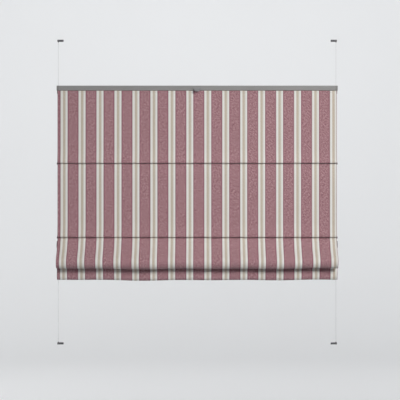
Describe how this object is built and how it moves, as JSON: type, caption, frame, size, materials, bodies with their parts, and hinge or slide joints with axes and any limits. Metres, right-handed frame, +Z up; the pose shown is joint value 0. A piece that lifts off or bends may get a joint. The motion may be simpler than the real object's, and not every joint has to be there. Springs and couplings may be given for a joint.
{
  "type": "roman blind",
  "caption": "Roman blind guided on two taut cords: striped cloth between two sliding rails, folded on slim rods, with clamp brackets for the window rebate.",
  "frame": {"origin": "midway between the screw holes of the two top brackets, on their seats, in the plane of the cords", "axes": "+X along the rails to the right, +Y from the room towards the glass, +Z up"},
  "size_m": [1.18, 0.0902, 1.28],
  "materials": {
    "striped_cloth": "heathered burgundy weave with cream and beige stripes",
    "rail_grey": "satin grey powder coat on extruded aluminium",
    "cap_grey": "moulded grey plastic, fine matt grain",
    "bracket_grey": "moulded dark grey plastic, fine matt grain",
    "grip_grey": "moulded grey plastic, satin",
    "cord_grey": "thin braided polyester cord",
    "nipple_metal": "turned, plain",
    "screw_steel": "zinc plated",
    "brake_white": "moulded acetal, smooth",
    "spring_steel": "rolled spring strip",
    "keder_white": "extruded round profile",
    "rod_white": "pultruded glass fibre, smooth",
    "guide_grey": "moulded dark grey plastic, smooth"
  },
  "bodies": {
    "root": {"top_bracket_left": "bracket_grey", "top_bracket_right": "bracket_grey", "bottom_bracket_left": "bracket_grey", "bottom_bracket_right": "bracket_grey", "tension_cord_left": "cord_grey", "tension_cord_right": "cord_grey", "cord_nipples": "nipple_metal", "clamp_screws": "screw_steel"},
    "top_carriage": {"top_rail": "rail_grey", "top_keder": "keder_white", "top_rail_cap_left": "cap_grey", "top_brake_shoe_left": "brake_white", "top_brake_spring_left": "spring_steel", "top_rail_cap_right": "cap_grey", "top_brake_shoe_right": "brake_white", "top_brake_spring_right": "spring_steel", "grip": "grip_grey", "fabric": "striped_cloth", "upper_rod": "rod_white", "upper_rod_guide_left": "guide_grey", "upper_rod_guide_right": "guide_grey", "middle_rod": "rod_white", "middle_rod_guide_left": "guide_grey", "middle_rod_guide_right": "guide_grey"},
    "bottom_carriage": {"bottom_rail": "rail_grey", "bottom_keder": "keder_white", "bottom_rail_cap_left": "cap_grey", "bottom_brake_shoe_left": "brake_white", "bottom_brake_spring_left": "spring_steel", "bottom_rail_cap_right": "cap_grey", "bottom_brake_shoe_right": "brake_white", "bottom_brake_spring_right": "spring_steel", "lower_rod": "rod_white", "lower_rod_guide_left": "guide_grey", "lower_rod_guide_right": "guide_grey"}
  },
  "joints": [
    {"name": "top_rail_slide", "type": "slide", "parent": "root", "child": "top_carriage", "axis": [0, 0, 1], "range_m": [-0.1, 0.18]},
    {"name": "bottom_rail_slide", "type": "slide", "parent": "top_carriage", "child": "bottom_carriage", "axis": [0, 0, 1], "range_m": [-0.26, 0.008], "deforming": ["fabric"]}
  ]
}
